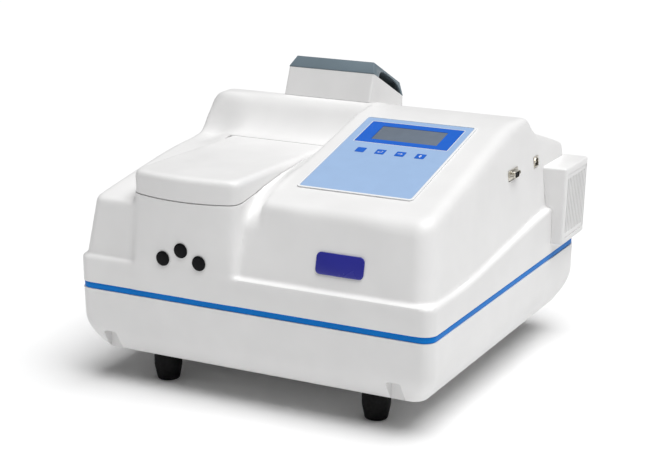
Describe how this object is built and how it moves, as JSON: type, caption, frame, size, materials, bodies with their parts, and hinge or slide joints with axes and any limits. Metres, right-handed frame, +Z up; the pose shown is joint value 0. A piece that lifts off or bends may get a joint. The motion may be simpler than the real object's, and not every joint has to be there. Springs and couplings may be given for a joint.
{
  "type": "spectrophotometer",
  "caption": "Bench-top fluorescence spectrophotometer with a hinged sample lid, sloping keypad and display, lamp hood and side fan housing.",
  "frame": {"origin": "bottom centre of the object's box, on the surface that the feet stand on", "axes": "+Z up, -Y towards the user, +X to the user's right"},
  "size_m": [0.498, 0.4792, 0.3667],
  "materials": {
    "shell_white": "satin warm white moulded shell",
    "trim_blue": "satin blue",
    "foot_rubber": "matt black",
    "fixing_steel": "bright zinc",
    "black_plastic": "fine grained black",
    "badge_blue": "glossy dark blue",
    "chamber_black": "matt black, light absorbing",
    "clear_glass": "polished fused silica",
    "bezel_white": "satin white",
    "overlay_blue": "printed polyester film, light blue",
    "frame_blue": "printed polyester film, bright blue",
    "display_grey": "grey display glass",
    "circuit_board": "green solder mask",
    "cap_grey": "satin blue grey",
    "nickel": "bright nickel plate",
    "cast_aluminium": "machined",
    "mirror_silver": "polished"
  },
  "bodies": {
    "base": {"base_tray": "shell_white", "upper_cover": "shell_white", "lamp_hood": "shell_white", "fan_housing": "shell_white", "louvre_panel": "shell_white", "trim_band": "trim_blue", "foot_front_left": "foot_rubber", "foot_front_right": "foot_rubber", "foot_rear_left": "foot_rubber", "foot_rear_right": "foot_rubber", "foot_screw_front_left": "fixing_steel", "foot_screw_front_right": "fixing_steel", "foot_screw_rear_left": "fixing_steel", "foot_screw_rear_right": "fixing_steel", "lid_hinge_pin": "fixing_steel", "power_supply": "fixing_steel", "shutter_solenoid": "fixing_steel", "hole_plug_left": "black_plastic", "hole_plug_middle": "black_plastic", "hole_plug_right": "black_plastic", "fan_frame": "black_plastic", "serial_socket_core": "black_plastic", "mains_inlet": "black_plastic", "power_switch_frame": "black_plastic", "fuse_holder": "black_plastic", "excitation_motor": "black_plastic", "emission_motor": "black_plastic", "nameplate": "badge_blue", "sample_chamber": "chamber_black", "cuvette_holder": "chamber_black", "detector_housing": "chamber_black", "xenon_lamp": "clear_glass", "condenser_lens": "clear_glass", "keypad_bezel": "bezel_white", "keypad_overlay": "overlay_blue", "display_frame": "frame_blue", "display_window": "display_grey", "keypad_board": "circuit_board", "main_board": "circuit_board", "hood_cap": "cap_grey", "serial_socket": "nickel", "usb_socket": "nickel", "optical_bench": "cast_aluminium", "lamp_housing": "cast_aluminium", "excitation_mirror": "mirror_silver", "emission_mirror": "mirror_silver"},
    "lid": {"sample_lid": "shell_white", "lid_seal": "foot_rubber"},
    "key_1": {"key_1": "frame_blue"},
    "key_2": {"key_2": "frame_blue"},
    "key_3": {"key_3": "frame_blue"},
    "key_4": {"key_4": "frame_blue"},
    "fan_rotor": {"fan_rotor": "black_plastic"},
    "excitation_grating": {"excitation_table": "cast_aluminium", "excitation_grating": "mirror_silver"},
    "emission_grating": {"emission_table": "cast_aluminium", "emission_grating": "mirror_silver"},
    "shutter": {"shutter_flag": "chamber_black"},
    "rocker": {"power_rocker": "black_plastic"},
    "cuvette": {"cuvette": "clear_glass"}
  },
  "joints": [
    {"name": "lid_hinge", "type": "hinge", "parent": "base", "child": "lid", "pos_m": [-0.096, -0.0001, 0.2699], "axis": [-1, 0, 0], "range_deg": [0, 92]},
    {"name": "key_1_press", "type": "slide", "parent": "base", "child": "key_1", "axis": [0, 0.2435, -0.9699], "range_m": [0, 0.0004], "stiffness_N_per_m": 2500},
    {"name": "key_2_press", "type": "slide", "parent": "base", "child": "key_2", "axis": [0, 0.2435, -0.9699], "range_m": [0, 0.0004], "stiffness_N_per_m": 2500},
    {"name": "key_3_press", "type": "slide", "parent": "base", "child": "key_3", "axis": [0, 0.2435, -0.9699], "range_m": [0, 0.0004], "stiffness_N_per_m": 2500},
    {"name": "key_4_press", "type": "slide", "parent": "base", "child": "key_4", "axis": [0, 0.2435, -0.9699], "range_m": [0, 0.0004], "stiffness_N_per_m": 2500},
    {"name": "fan_spin", "type": "hinge", "parent": "base", "child": "fan_rotor", "pos_m": [0.231, 0.1841, 0.1935], "axis": [1, 0, 0], "continuous": true},
    {"name": "excitation_drive", "type": "hinge", "parent": "base", "child": "excitation_grating", "pos_m": [-0.174, 0.0211, 0.1455], "axis": [0, 0, 1], "range_deg": [-40, 40]},
    {"name": "emission_drive", "type": "hinge", "parent": "base", "child": "emission_grating", "pos_m": [0.049, -0.0289, 0.1455], "axis": [0, 0, 1], "range_deg": [-40, 40]},
    {"name": "shutter_swing", "type": "hinge", "parent": "base", "child": "shutter", "pos_m": [-0.017, 0.0481, 0.1825], "axis": [0, 1, 0], "range_deg": [0, 50], "stiffness_Nm_per_rad": 0.01},
    {"name": "power_switch_rock", "type": "hinge", "parent": "base", "child": "rocker", "pos_m": [-0.107, 0.2304, 0.2215], "axis": [1, 0, 0], "range_deg": [0, 22]},
    {"name": "cuvette_lift", "type": "slide", "parent": "base", "child": "cuvette", "axis": [0, 0, 1], "range_m": [0, 0.05]}
  ]
}
